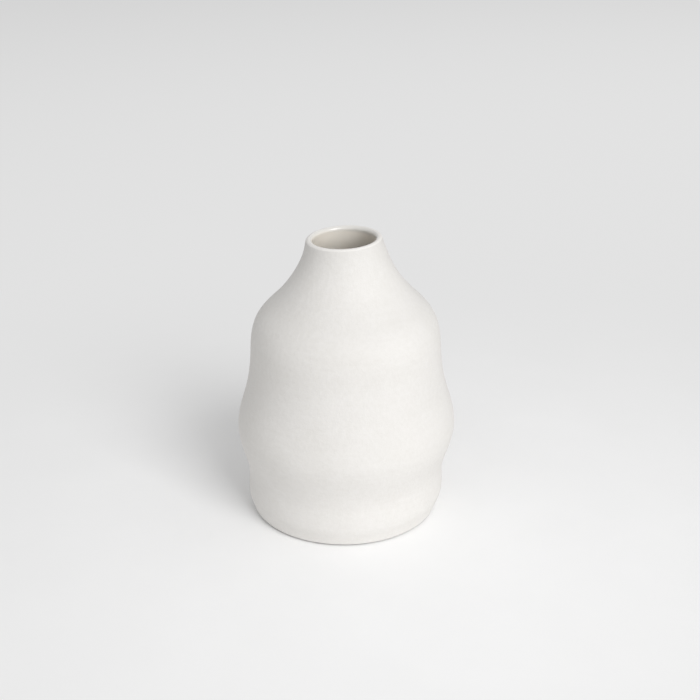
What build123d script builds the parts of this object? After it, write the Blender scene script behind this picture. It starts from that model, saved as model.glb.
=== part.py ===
from build123d import *
import os
from math import cos, radians, sin
from typing import NamedTuple

# A pillow vase: a slip-cast stoneware bottle with a soft lobed outline that draws in to a small mouth.
# A glaze lining is fired onto the inside, up to the top of the lip, so that the porous clay holds water.
# Millimetres, +Z up, with the origin at the middle of the foot, on the surface that the vase stands on.

# Outside wall, ring by ring from its lower edge up. Each rise is counted from the ring below.
# A lean is the wall's angle from upright, in degrees: above zero the wall widens upwards.
EDGE_RADIUS = 58.9
EDGE_RISE = 0.9
EDGE_LEAN = 13.0
BAND_RADIUS = 62.4
BAND_RISE = 13.1
BAND_LEAN = 0.0
CREASE_RADIUS = 62.0
CREASE_RISE = 11.0
CREASE_LEAN = 0.0
BELLY_RADIUS = 68.6
BELLY_RISE = 33.0
BELLY_LEAN = 0.0
FLANK_RADIUS = 64.3
FLANK_RISE = 20.0
FLANK_LEAN = -17.5
WAIST_RADIUS = 59.1
WAIST_RISE = 31.0
WAIST_LEAN = -2.5
SHOULDER_RADIUS = 56.3
SHOULDER_RISE = 17.0
SHOULDER_LEAN = -21.0
NECK_RADIUS = 46.6
NECK_RISE = 13.0
NECK_LEAN = -46.5
LIP_RADIUS = 23.2
LIP_RISE = 39.43
LIP_LEAN = -12.5

# Thickness of the wall, of the half-round lip and of the floor, each counted with its glaze.
WALL_THICKNESS = 4.2
LIP_THICKNESS = 4.0
FLOOR_THICKNESS = 5.6
GLAZE_THICKNESS = 0.4
# How far round the lip the glaze starts, in degrees from the outside wall.
GLAZE_LINE_TURN = 100.0

# Foot ring that the vase stands on: it is set in from the wall's lower edge, round a shallow hollow.
FOOT_SET_IN = 3.4
FOOT_RING_WIDTH = 5.0
FOOT_HOLLOW = 1.5
FOOT_ROUND_RADIUS = 0.4
EDGE_ROUND_RADIUS = 1.5

HALF_TURN = 180.0
FULL_TURN = 360.0


class Ring(NamedTuple):
    """One level of the outside wall, with the wall's thickness there."""

    radius: float
    height: float
    lean: float
    thickness: float


def ring_above(lower, radius, rise, lean, thickness=WALL_THICKNESS):
    """The next ring, at its rise above a lower one."""
    return Ring(radius, lower.height + rise, lean, thickness)


EDGE = Ring(EDGE_RADIUS, EDGE_RISE, EDGE_LEAN, WALL_THICKNESS)
BAND = ring_above(EDGE, BAND_RADIUS, BAND_RISE, BAND_LEAN)
CREASE = ring_above(BAND, CREASE_RADIUS, CREASE_RISE, CREASE_LEAN)
BELLY = ring_above(CREASE, BELLY_RADIUS, BELLY_RISE, BELLY_LEAN)
FLANK = ring_above(BELLY, FLANK_RADIUS, FLANK_RISE, FLANK_LEAN)
WAIST = ring_above(FLANK, WAIST_RADIUS, WAIST_RISE, WAIST_LEAN)
SHOULDER = ring_above(WAIST, SHOULDER_RADIUS, SHOULDER_RISE, SHOULDER_LEAN)
NECK = ring_above(SHOULDER, NECK_RADIUS, NECK_RISE, NECK_LEAN)
LIP = ring_above(NECK, LIP_RADIUS, LIP_RISE, LIP_LEAN, LIP_THICKNESS)

INSIDE_RINGS = [BAND, CREASE, BELLY, FLANK, WAIST, SHOULDER, NECK, LIP]
OUTSIDE_RINGS = [EDGE, *INSIDE_RINGS]
LIP_ROUND_RADIUS = LIP_THICKNESS / 2


def inset(ring, depth):
    """The point that lies depth inside the wall's outer face at a ring, square to that face."""
    lean = radians(ring.lean)
    return Vector(ring.radius - depth * cos(lean), ring.height + depth * sin(lean))


def wall_line(rings, depths):
    """The smooth upright line through every ring, each at its own depth in the wall."""
    points = [inset(ring, depth) for ring, depth in zip(rings, depths)]
    directions = [(sin(radians(ring.lean)), cos(radians(ring.lean))) for ring in rings]
    return Spline(points, tangents=directions)


def lip_point(radius, turn):
    """A point round the lip's centre, turned from the outside wall over the top towards the inside."""
    angle = radians(turn - LIP.lean)
    return inset(LIP, LIP_ROUND_RADIUS) + Vector(radius * cos(angle), radius * sin(angle))


def lip_arc(radius, start, end):
    """A round stretch of the lip between two turns."""
    middle = (start + end) / 2
    return ThreePointArc(lip_point(radius, start), lip_point(radius, middle), lip_point(radius, end))


def inside_lines(coat):
    """The inside face under a coat of glaze, from the glaze line down the wall and in to the axis."""
    lip = lip_arc(LIP_ROUND_RADIUS - coat, GLAZE_LINE_TURN, HALF_TURN)
    wall = wall_line(INSIDE_RINGS, [ring.thickness - coat for ring in INSIDE_RINGS])
    corner_start = inset(BAND, BAND.thickness - coat)
    corner_radius = BAND.height - FLOOR_THICKNESS + coat
    corner_end = corner_start - Vector(corner_radius, corner_radius)
    corner = RadiusArc(corner_start, corner_end, corner_radius)
    floor = Line(corner_end, (0, corner_end.Y))
    return [lip, wall, corner, floor]


def glaze_edge():
    """The step at the glaze line on the lip, where the glaze's edge meets the bare clay."""
    return Line(
        lip_point(LIP_ROUND_RADIUS, GLAZE_LINE_TURN),
        lip_point(LIP_ROUND_RADIUS - GLAZE_THICKNESS, GLAZE_LINE_TURN),
    )


def turn_solid(lines):
    """A closed outline turned once about the vase's axis."""
    return revolve(Plane.XZ * make_face(lines), Axis.Z, FULL_TURN)


def make_stoneware_body():
    """The fired clay wall with its floor, foot ring and bare outer half of the lip."""
    foot_outside = EDGE.radius - FOOT_SET_IN
    foot_inside = foot_outside - FOOT_RING_WIDTH
    underside = Polyline(
        (0, FLOOR_THICKNESS - GLAZE_THICKNESS),
        (0, FOOT_HOLLOW),
        (foot_inside - FOOT_HOLLOW, FOOT_HOLLOW),
        (foot_inside, 0),
        (foot_outside, 0),
        (foot_outside, EDGE.height),
        (EDGE.radius, EDGE.height),
    )
    outside = wall_line(OUTSIDE_RINGS, [0.0] * len(OUTSIDE_RINGS))
    bare_lip = lip_arc(LIP_ROUND_RADIUS, 0.0, GLAZE_LINE_TURN)
    body = turn_solid([underside, outside, bare_lip, glaze_edge(), *inside_lines(GLAZE_THICKNESS)])
    foot_edges = body.edges().group_by(Axis.Z)[0]
    body = fillet(foot_edges, FOOT_ROUND_RADIUS)
    level_edges = body.edges().filter_by_position(Axis.Z, EDGE.height, EDGE.height)
    lower_edge = level_edges.sort_by(SortBy.RADIUS)[-1]
    return fillet(lower_edge, EDGE_ROUND_RADIUS)


def make_glaze_lining():
    """The glassy coat on the inside, from the middle of the floor up to the glaze line on the lip."""
    floor_middle = Line((0, FLOOR_THICKNESS - GLAZE_THICKNESS), (0, FLOOR_THICKNESS))
    return turn_solid([glaze_edge(), *inside_lines(0.0), floor_middle, *inside_lines(GLAZE_THICKNESS)])


def main():
    """Writes each piece to its own file and prints its size."""
    os.makedirs("parts", exist_ok=True)
    pieces = {
        "stoneware_body": make_stoneware_body(),
        "glaze_lining": make_glaze_lining(),
    }
    for name, solid in pieces.items():
        export_step(solid, f"parts/{name}.step")
        box = solid.bounding_box()
        print(name, "from", box.min, "to", box.max, "volume", round(solid.volume))


main()
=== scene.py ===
"""The looks of a pillow vase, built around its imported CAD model.

Metres, +Z up, in the CAD model's own frame.
"""
import math
import bmesh
import bpy
import numpy as np
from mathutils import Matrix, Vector


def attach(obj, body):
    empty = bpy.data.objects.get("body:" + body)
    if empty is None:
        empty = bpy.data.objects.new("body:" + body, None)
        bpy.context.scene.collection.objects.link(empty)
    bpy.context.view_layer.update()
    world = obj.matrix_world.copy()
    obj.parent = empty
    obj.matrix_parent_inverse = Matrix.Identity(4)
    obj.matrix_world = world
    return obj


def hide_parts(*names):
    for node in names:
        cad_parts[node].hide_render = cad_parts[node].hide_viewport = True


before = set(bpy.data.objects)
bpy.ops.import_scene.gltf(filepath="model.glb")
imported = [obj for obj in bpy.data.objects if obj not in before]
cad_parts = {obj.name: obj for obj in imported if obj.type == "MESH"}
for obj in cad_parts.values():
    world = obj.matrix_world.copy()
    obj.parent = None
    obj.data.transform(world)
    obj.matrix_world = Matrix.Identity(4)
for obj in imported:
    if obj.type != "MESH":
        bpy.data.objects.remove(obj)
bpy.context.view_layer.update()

MM = 0.001

# Camera: it stands in front of the vase, along -Y, and looks down on it.
FRAME_PIXELS = 700
FOCAL_PIXELS = 1250.0
SENSOR_MM = 36.0
CAMERA_DISTANCE = 713.6 * MM
CAMERA_HEIGHT = 417.1 * MM
CAMERA_SIDE = 2.93 * MM
CAMERA_PITCH = math.radians(23.57)
RIGHT_ANGLE = math.pi / 2.0

# How finely the outline is cut up, along it and round the axis.
SEAM_TOLERANCE = 1e-6
OUTLINE_STEP = 1.5 * MM
CORNER_TURN = math.radians(30.0)
STRAIGHT_RATIO = 4.0
TURN_STEPS = 224
FULL_TURN = 2.0 * math.pi

# Hand-made unevenness of the visible pieces: heights above the foot, and what happens there.
TILT_HEIGHTS = np.array([0.0, 20.0, 60.0, 120.0, 150.0, 180.0]) * MM
TILTS = np.tan(np.radians([0.0, 1.5, 0.9, 0.55, 1.4, 2.75]))
DRIFT_HEIGHTS = np.array([0.0, 14.0, 58.0, 126.0, 168.0, 180.0]) * MM
DRIFTS = np.array([-0.7, 0.08, 0.55, 0.23, -0.06, -0.7]) * MM
NOD_HEIGHTS = np.array([0.0, 150.0, 180.0]) * MM
NODS = np.tan(np.radians([0.0, 0.0, 1.05]))
NOD_PIVOT = 21.5 * MM

# Which way is up on the whole vase, and on its tilted lip.
UPRIGHT = (0.0, 0.0, 1.0)
LIP_UPWARDS = (-TILTS[-1], -NODS[-1], 1.0)

# Light: a tall soft box, whose bearing is counted from the camera's side of the vase towards the right.
ROOM_COLOUR = (1.0, 1.0, 1.0, 1.0)
ROOM_STRENGTH = 0.592
LAMP_AIM = Vector((0.0, 0.0, 90.0 * MM))
SOFT_BOX = {"bearing": 32.0, "rise": 35.0, "distance": 2.0, "wide": 1.0, "tall": 1.5, "power": 26.8}

# Floor and backdrop: away from the vase the floor fades into the backdrop, which dims away from the right
# as a painted light falloff.
BACKDROP_NEAR = (0.765, 0.765, 0.765, 1.0)
BACKDROP_FAR = (0.651, 0.651, 0.651, 1.0)
BACKDROP_STRENGTH = 1.0
DIM_CENTRE = (1.0, 0.0, 0.0)
DIM_START = 1.0
DIM_END = 3.4
FLOOR_RADIUS = 8.0
FLOOR_STEPS = 128
FLOOR_PALE = (0.920, 0.920, 0.920, 1.0)
FLOOR_DIM = (0.900, 0.900, 0.900, 1.0)
FLOOR_ROUGHNESS = 0.9
FLOOR_SPECULAR = 0.1
FLOOR_MOTTLE_SCALE = 14.0
FLOOR_MOTTLE_DETAIL = 4.0
FADE_CENTRE = (0.0, 0.0, 0.0)
FADE_START = 0.08
FADE_END = 0.5

# How far noise strays from its middle value.
NOISE_SPREAD = (0.3, 0.7)

# Bare stoneware: scales are in features per metre, and bump depths in metres.
# A shade is a factor on the colour that paints light or shade onto it by height. It sets in at its start
# height and is full at its end height.
CLAY_DIM = (0.663, 0.646, 0.619, 1.0)
CLAY_PALE = (0.732, 0.718, 0.699, 1.0)
# Painted light on the lower edge and the foot, painted shade on the neck, and a painted highlight on top of
# the lip.
CLAY_EDGE_PAINTED_LIGHT = {"shade": 1.05, "start": 16.0 * MM, "end": 1.0 * MM, "upwards": UPRIGHT}
CLAY_FOOT_PAINTED_LIGHT = {"shade": 1.062, "start": 88.0 * MM, "end": 30.0 * MM, "upwards": UPRIGHT}
CLAY_NECK_PAINTED_SHADE = {"shade": 0.945, "start": 155.0 * MM, "end": 180.0 * MM, "upwards": UPRIGHT}
CLAY_LIP_PAINTED_HIGHLIGHT = {"shade": 1.165, "start": 178.4 * MM, "end": 179.1 * MM, "upwards": LIP_UPWARDS}
CLAY_MOTTLE_SCALE = 42.0
CLAY_MOTTLE_DETAIL = 5.0
CLAY_DIMPLE_SCALE = 360.0
CLAY_DIMPLE_DETAIL = 2.0
CLAY_GRAIN_SCALE = 1300.0
CLAY_GRAIN_DETAIL = 2.0
CLAY_WIPE_SCALE = 30.0
CLAY_WIPE_STRETCH = 14.0
CLAY_WIPE_DETAIL = 4.0
CLAY_TONE_SHARES = {"mottle": 0.3, "dimple": 0.3, "grain": 0.25, "wipe": 0.15}
CLAY_HEIGHT_SHARES = {"dimple": 0.6, "grain": 0.2, "wipe": 0.2}
CLAY_ROUGHNESS = (0.58, 0.78)
CLAY_SPECULAR = 0.3
CLAY_BUMP_STRENGTH = 0.8
CLAY_BUMP_DEPTH = 0.4 * MM

# White glaze on the inside: it runs thin over the lip, where the clay shows through.
GLAZE_DIM = (0.950, 0.888, 0.800, 1.0)
GLAZE_PALE = (0.970, 0.930, 0.855, 1.0)
GLAZE_THIN = (0.700, 0.685, 0.655, 1.0)
GLAZE_FULL_HEIGHT = 176.0 * MM
GLAZE_THIN_HEIGHT = 179.2 * MM
GLAZE_MOTTLE_SCALE = 55.0
GLAZE_MOTTLE_DETAIL = 3.0
GLAZE_RIPPLE_SCALE = 190.0
GLAZE_RIPPLE_DETAIL = 1.0
GLAZE_RING_SCALE = 26.0
GLAZE_RING_STRETCH = 10.0
GLAZE_RING_DETAIL = 3.0
GLAZE_TONE_SHARES = {"mottle": 0.6, "ripple": 0.15, "ring": 0.25}
GLAZE_HEIGHT_SHARES = {"mottle": 0.15, "ripple": 0.55, "ring": 0.3}
GLAZE_ROUGHNESS = (0.30, 0.46)
GLAZE_COAT = 0.85
GLAZE_COAT_ROUGHNESS = 0.10
GLAZE_BUMP_STRENGTH = 0.22
GLAZE_BUMP_DEPTH = 0.25 * MM


def seam_points(node):
    """A turned node's outline on its seam, as (radius, height) pairs from the axis round to the axis."""
    mesh = bmesh.new()
    mesh.from_mesh(node.data)
    bmesh.ops.remove_doubles(mesh, verts=mesh.verts, dist=SEAM_TOLERANCE)
    seam = {v for v in mesh.verts if abs(v.co.y) < SEAM_TOLERANCE and v.co.x > SEAM_TOLERANCE}
    beside = {v: [e.other_vert(v) for e in v.link_edges if e.other_vert(v) in seam] for v in seam}
    ends = [v for v in seam if len(beside[v]) == 1]
    chain = [min(ends, key=lambda v: v.co.z)]
    while len(chain) < len(seam):
        chain.append(next(v for v in beside[chain[-1]] if v not in chain[-2:]))
    outline = [(0.0, chain[0].co.z), *((v.co.x, v.co.z) for v in chain), (0.0, chain[-1].co.z)]
    mesh.free()
    return np.array(outline)


def outline_directions(points):
    """The directions in which the outline arrives at each point and leaves it. They differ at a corner."""
    runs = np.diff(points, axis=0)
    lengths = np.linalg.norm(runs, axis=1)
    headings = runs / lengths[:, None]
    arriving = np.vstack([headings[:1], headings])
    leaving = np.vstack([headings, headings[-1:]])
    for i in range(1, len(points) - 1):
        before, after = lengths[i - 1], lengths[i]
        if headings[i - 1] @ headings[i] < math.cos(CORNER_TURN):
            continue
        if max(before, after) > STRAIGHT_RATIO * min(before, after):
            shared = headings[i - 1] if before > after else headings[i]
        else:
            shared = (after * headings[i - 1] + before * headings[i]) / (before + after)
        arriving[i] = leaving[i] = shared / np.linalg.norm(shared)
    return arriving, leaving


def eased(share):
    """A share from 0 to 1 that starts and ends gently."""
    return share * share * (3.0 - 2.0 * share)


def smooth_outline(points):
    """The outline cut into short steps along a curve through its points, with its corners kept."""
    arriving, leaving = outline_directions(points)
    smooth = [points[0]]
    for i in range(len(points) - 1):
        start, end = points[i], points[i + 1]
        length = np.linalg.norm(end - start)
        steps = max(1, math.ceil(length / OUTLINE_STEP))
        for t in np.linspace(0.0, 1.0, steps + 1)[1:]:
            bend = leaving[i] * t * (1.0 - t) ** 2 - arriving[i + 1] * t * t * (1.0 - t)
            smooth.append(start + (end - start) * eased(t) + length * bend)
    return np.array(smooth)


def smooth_steps(heights, levels, values):
    """Values that ease from level to level without a kink."""
    index = np.clip(np.searchsorted(levels, heights) - 1, 0, len(levels) - 2)
    share = np.clip((heights - levels[index]) / (levels[index + 1] - levels[index]), 0.0, 1.0)
    return values[index] + (values[index + 1] - values[index]) * eased(share)


def by_hand(places):
    """The slight unevenness of hand work: the vase's levels tilt and drift, and its mouth nods forwards."""
    uneven = places.copy()
    heights = places[:, 2]
    uneven[:, 0] += smooth_steps(heights, DRIFT_HEIGHTS, DRIFTS)
    uneven[:, 2] += places[:, 0] * smooth_steps(heights, TILT_HEIGHTS, TILTS)
    uneven[:, 2] += (places[:, 1] - NOD_PIVOT) * smooth_steps(heights, NOD_HEIGHTS, NODS)
    return uneven


def turned_places(outline):
    """The corners of a turned outline: a ring for each point, and a pole for each end on the axis."""
    rim = outline[1:-1]
    angles = np.linspace(0.0, FULL_TURN, TURN_STEPS, endpoint=False)
    rings = np.stack(
        [
            rim[:, :1] * np.cos(angles),
            rim[:, :1] * np.sin(angles),
            np.repeat(rim[:, 1:], TURN_STEPS, axis=1),
        ],
        axis=2,
    )
    poles = [[0.0, 0.0, outline[0, 1]], [0.0, 0.0, outline[-1, 1]]]
    return np.vstack([rings.reshape(-1, 3), poles])


def turned_faces(ring_count):
    """The faces between a turned outline's rings, and from its first and last ring to the poles."""
    first_pole = ring_count * TURN_STEPS
    last_pole = first_pole + 1
    last_ring = first_pole - TURN_STEPS
    faces = []
    for here in range(TURN_STEPS):
        beyond = (here + 1) % TURN_STEPS
        faces.append((first_pole, here, beyond))
        faces.append((last_pole, last_ring + beyond, last_ring + here))
        for low in range(0, last_ring, TURN_STEPS):
            high = low + TURN_STEPS
            faces.append((low + here, high + here, high + beyond, low + beyond))
    return faces


def turned_mesh(name, outline):
    """A closed mesh: the outline, which starts and ends on the axis, turned once about it."""
    places = by_hand(turned_places(outline))
    mesh = bpy.data.meshes.new(name)
    mesh.from_pydata(places.tolist(), [], turned_faces(len(outline) - 2))
    shell = bmesh.new()
    shell.from_mesh(mesh)
    bmesh.ops.recalc_face_normals(shell, faces=shell.faces)
    shell.to_mesh(mesh)
    shell.free()
    mesh.shade_smooth()
    mesh.set_sharp_from_angle(angle=CORNER_TURN)
    return mesh


def add_object(name, data):
    """A new object in the scene."""
    thing = bpy.data.objects.new(name, data)
    bpy.context.scene.collection.objects.link(thing)
    return thing


def turned_piece(node, material):
    """A finely turned piece that stands for a CAD node and has its name."""
    outline = smooth_outline(seam_points(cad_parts[node]))
    piece = add_object(node, turned_mesh(node, outline))
    piece.data.materials.append(material)
    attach(piece, "root")
    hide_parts(node)


def add_node(tree, kind, inputs, **settings):
    """A node with its settings, whose inputs are given values or are linked to other nodes' outputs."""
    node = tree.nodes.new(kind)
    for name, value in settings.items():
        setattr(node, name, value)
    for name, value in inputs.items():
        if isinstance(value, bpy.types.NodeSocket):
            tree.links.new(value, node.inputs[name])
        else:
            node.inputs[name].default_value = value
    return node


def calculated(tree, operation, *values):
    """The result of an operation on plain values and other nodes' outputs."""
    inputs = dict(enumerate(values))
    return add_node(tree, "ShaderNodeMath", inputs, operation=operation).outputs["Value"]


def measured(tree, operation, place, other):
    """One measure of a place against another vector: a distance from it, or a height along it."""
    inputs = {0: place, 1: other}
    return add_node(tree, "ShaderNodeVectorMath", inputs, operation=operation).outputs["Value"]


def smooth_range(tree, value, start, end):
    """0 at a start value and 1 at an end value, with a smooth step between them."""
    inputs = {"Value": value, "From Min": start, "From Max": end}
    return add_node(tree, "ShaderNodeMapRange", inputs, interpolation_type="SMOOTHSTEP").outputs["Result"]


def mixed_colour(tree, share, colour, other, how="MIX"):
    """A colour with a share of another one, mixed in or multiplied with it."""
    inputs = {"Fac": share, "Color1": colour, "Color2": other}
    return add_node(tree, "ShaderNodeMixRGB", inputs, blend_type=how).outputs["Color"]


def mixed_shader(tree, share, shader, other):
    """A shader with a share of another one."""
    inputs = {0: share, 1: shader, 2: other}
    return add_node(tree, "ShaderNodeMixShader", inputs).outputs["Shader"]


def new_material(name):
    """A new node material with its shader, and the place on the piece for its textures."""
    material = bpy.data.materials.new(name)
    material.use_nodes = True
    tree = material.node_tree
    place = add_node(tree, "ShaderNodeTexCoord", {}).outputs["Object"]
    return material, tree, tree.nodes["Principled BSDF"], place


def noise(tree, place, scale, detail):
    """Soft cloudy noise, from 0 to 1."""
    inputs = {"Vector": place, "Scale": scale, "Detail": detail}
    return add_node(tree, "ShaderNodeTexNoise", inputs).outputs["Fac"]


def level_noise(tree, place, stretch, scale, detail):
    """Noise drawn out into level bands round the piece."""
    squeezed = add_node(tree, "ShaderNodeMapping", {"Vector": place, "Scale": (1.0, 1.0, stretch)})
    return noise(tree, squeezed.outputs["Vector"], scale, detail)


def blend_shares(tree, layers, shares):
    """One value from several layers, each with its own share."""
    total = 0.0
    for name, share in shares.items():
        total = calculated(tree, "MULTIPLY_ADD", layers[name], share, total)
    return total


def two_tones(tree, value, dim, pale):
    """A colour between two tones. Noise keeps near its middle, so the middle part is spread over both."""
    ramp = add_node(tree, "ShaderNodeValToRGB", {"Fac": value})
    for stop, position, colour in zip(ramp.color_ramp.elements, NOISE_SPREAD, (dim, pale)):
        stop.position = position
        stop.color = colour
    return ramp.outputs["Color"]


def spread(tree, value, low_high):
    """Noise spread over a range of values."""
    inputs = {
        "Value": value,
        "From Min": NOISE_SPREAD[0],
        "From Max": NOISE_SPREAD[1],
        "To Min": low_high[0],
        "To Max": low_high[1],
    }
    return add_node(tree, "ShaderNodeMapRange", inputs).outputs["Result"]


def relief(tree, height, strength, depth):
    """A bump from a height between 0 and 1."""
    inputs = {"Height": height, "Strength": strength, "Distance": depth}
    return add_node(tree, "ShaderNodeBump", inputs).outputs["Normal"]


def height_step(tree, place, start, end, upwards):
    """0 at one height and 1 at another, with a smooth step between them."""
    return smooth_range(tree, measured(tree, "DOT_PRODUCT", place, upwards), start, end)


def away_step(tree, place, centre, start, end):
    """0 near a point and 1 far away from it, with a smooth step between two distances."""
    return smooth_range(tree, measured(tree, "DISTANCE", place, centre), start, end)


def shaded(tree, place, colour, shade, start, end, upwards):
    """A colour with painted light or shade on it: lifted or dimmed from one height to another."""
    share = height_step(tree, place, start, end, upwards)
    return mixed_colour(tree, share, colour, (shade, shade, shade, 1.0), "MULTIPLY")


def stoneware_material():
    """Matte warm white fired clay: cloudy, dimpled and finely grained, with faint level marks from wiping.

    Painted light makes it a little paler towards the foot, a painted highlight makes the top of the lip
    paler, and painted shade makes the neck dimmer.
    """
    material, tree, shader, place = new_material("bare_stoneware")
    layers = {
        "mottle": noise(tree, place, CLAY_MOTTLE_SCALE, CLAY_MOTTLE_DETAIL),
        "dimple": noise(tree, place, CLAY_DIMPLE_SCALE, CLAY_DIMPLE_DETAIL),
        "grain": noise(tree, place, CLAY_GRAIN_SCALE, CLAY_GRAIN_DETAIL),
        "wipe": level_noise(tree, place, CLAY_WIPE_STRETCH, CLAY_WIPE_SCALE, CLAY_WIPE_DETAIL),
    }
    tone = blend_shares(tree, layers, CLAY_TONE_SHARES)
    height = blend_shares(tree, layers, CLAY_HEIGHT_SHARES)
    colour = two_tones(tree, tone, CLAY_DIM, CLAY_PALE)
    # Painted light towards the foot, painted shade on the neck and a painted highlight on the lip, each by
    # height.
    for stretch in (CLAY_EDGE_PAINTED_LIGHT, CLAY_FOOT_PAINTED_LIGHT, CLAY_NECK_PAINTED_SHADE, CLAY_LIP_PAINTED_HIGHLIGHT):
        colour = shaded(tree, place, colour, **stretch)
    tree.links.new(colour, shader.inputs["Base Color"])
    tree.links.new(spread(tree, tone, CLAY_ROUGHNESS), shader.inputs["Roughness"])
    tree.links.new(relief(tree, height, CLAY_BUMP_STRENGTH, CLAY_BUMP_DEPTH), shader.inputs["Normal"])
    shader.inputs["Specular IOR Level"].default_value = CLAY_SPECULAR
    return material


def glaze_material():
    """White glaze on the clay: a glossy coat with soft ripples and faint level rings."""
    material, tree, shader, place = new_material("clear_glaze")
    layers = {
        "mottle": noise(tree, place, GLAZE_MOTTLE_SCALE, GLAZE_MOTTLE_DETAIL),
        "ripple": noise(tree, place, GLAZE_RIPPLE_SCALE, GLAZE_RIPPLE_DETAIL),
        "ring": level_noise(tree, place, GLAZE_RING_STRETCH, GLAZE_RING_SCALE, GLAZE_RING_DETAIL),
    }
    tone = blend_shares(tree, layers, GLAZE_TONE_SHARES)
    height = blend_shares(tree, layers, GLAZE_HEIGHT_SHARES)
    normal = relief(tree, height, GLAZE_BUMP_STRENGTH, GLAZE_BUMP_DEPTH)
    thinness = height_step(tree, place, GLAZE_FULL_HEIGHT, GLAZE_THIN_HEIGHT, UPRIGHT)
    colour = mixed_colour(tree, thinness, two_tones(tree, tone, GLAZE_DIM, GLAZE_PALE), GLAZE_THIN)
    tree.links.new(colour, shader.inputs["Base Color"])
    tree.links.new(spread(tree, tone, GLAZE_ROUGHNESS), shader.inputs["Roughness"])
    for socket in ("Normal", "Coat Normal"):
        tree.links.new(normal, shader.inputs[socket])
    shader.inputs["Coat Weight"].default_value = GLAZE_COAT
    shader.inputs["Coat Roughness"].default_value = GLAZE_COAT_ROUGHNESS
    return material


def seen_directly(tree):
    """1 for what the camera sees straight on or by mirror or glass, and 0 for light on its way."""
    path = add_node(tree, "ShaderNodeLightPath", {}).outputs
    seen = path["Is Camera Ray"]
    for ray in ("Is Glossy Ray", "Is Transmission Ray"):
        seen = calculated(tree, "MAXIMUM", seen, path[ray])
    return seen


def floor_material():
    """A plain pale floor that takes the vase's shadow and fades into the backdrop far away from it."""
    material, tree, shader, place = new_material("floor")
    mottle = noise(tree, place, FLOOR_MOTTLE_SCALE, FLOOR_MOTTLE_DETAIL)
    tree.links.new(two_tones(tree, mottle, FLOOR_DIM, FLOOR_PALE), shader.inputs["Base Color"])
    shader.inputs["Roughness"].default_value = FLOOR_ROUGHNESS
    shader.inputs["Specular IOR Level"].default_value = FLOOR_SPECULAR
    fade = away_step(tree, place, FADE_CENTRE, FADE_START, FADE_END)
    share = calculated(tree, "MULTIPLY", fade, seen_directly(tree))
    # Painted light falloff: the backdrop dims away from a point on the right.
    dim = away_step(tree, place, DIM_CENTRE, DIM_START, DIM_END)
    colour = mixed_colour(tree, dim, BACKDROP_NEAR, BACKDROP_FAR)
    inputs = {"Color": colour, "Strength": BACKDROP_STRENGTH}
    backdrop = add_node(tree, "ShaderNodeEmission", inputs).outputs["Emission"]
    surface = mixed_shader(tree, share, shader.outputs["BSDF"], backdrop)
    tree.links.new(surface, tree.nodes["Material Output"].inputs["Surface"])
    return material


def make_floor():
    """A round floor under the vase."""
    mesh = bpy.data.meshes.new("floor")
    disc = bmesh.new()
    bmesh.ops.create_circle(disc, cap_ends=True, radius=FLOOR_RADIUS, segments=FLOOR_STEPS)
    disc.to_mesh(mesh)
    disc.free()
    floor = add_object("floor", mesh)
    mesh.materials.append(floor_material())


def make_world():
    """Even light from all round, and the plain backdrop where the camera looks past the floor."""
    world = bpy.data.worlds.new("studio")
    world.use_nodes = True
    tree = world.node_tree
    room = tree.nodes["Background"]
    room.inputs["Color"].default_value = ROOM_COLOUR
    room.inputs["Strength"].default_value = ROOM_STRENGTH
    inputs = {"Color": BACKDROP_FAR, "Strength": BACKDROP_STRENGTH}
    backdrop = add_node(tree, "ShaderNodeBackground", inputs).outputs["Background"]
    surface = mixed_shader(tree, seen_directly(tree), room.outputs["Background"], backdrop)
    tree.links.new(surface, tree.nodes["World Output"].inputs["Surface"])
    bpy.context.scene.world = world


def make_lamp(name, bearing, rise, distance, wide, tall, power):
    """An upright soft lamp that faces the vase."""
    turn, lift = math.radians(bearing), math.radians(rise)
    direction = Vector((math.sin(turn) * math.cos(lift), -math.cos(turn) * math.cos(lift), math.sin(lift)))
    lamp = bpy.data.lights.new(name, "AREA")
    lamp.shape = "RECTANGLE"
    lamp.size = wide
    lamp.size_y = tall
    lamp.energy = power
    holder = add_object(name, lamp)
    holder.location = LAMP_AIM + direction * distance
    holder.rotation_euler = direction.to_track_quat("Z", "Y").to_euler()


def make_camera():
    """The camera, at the photograph's viewing angle."""
    camera = bpy.data.cameras.new("camera")
    camera.sensor_width = SENSOR_MM
    camera.lens = SENSOR_MM * FOCAL_PIXELS / FRAME_PIXELS
    holder = add_object("camera", camera)
    holder.location = (CAMERA_SIDE, -CAMERA_DISTANCE, CAMERA_HEIGHT)
    holder.rotation_euler = (RIGHT_ANGLE - CAMERA_PITCH, 0.0, 0.0)
    bpy.context.scene.camera = holder


turned_piece("stoneware_body", stoneware_material())
turned_piece("glaze_lining", glaze_material())
make_floor()
make_world()
make_lamp("soft_box", **SOFT_BOX)
make_camera()
bpy.context.scene.view_settings.view_transform = "Standard"
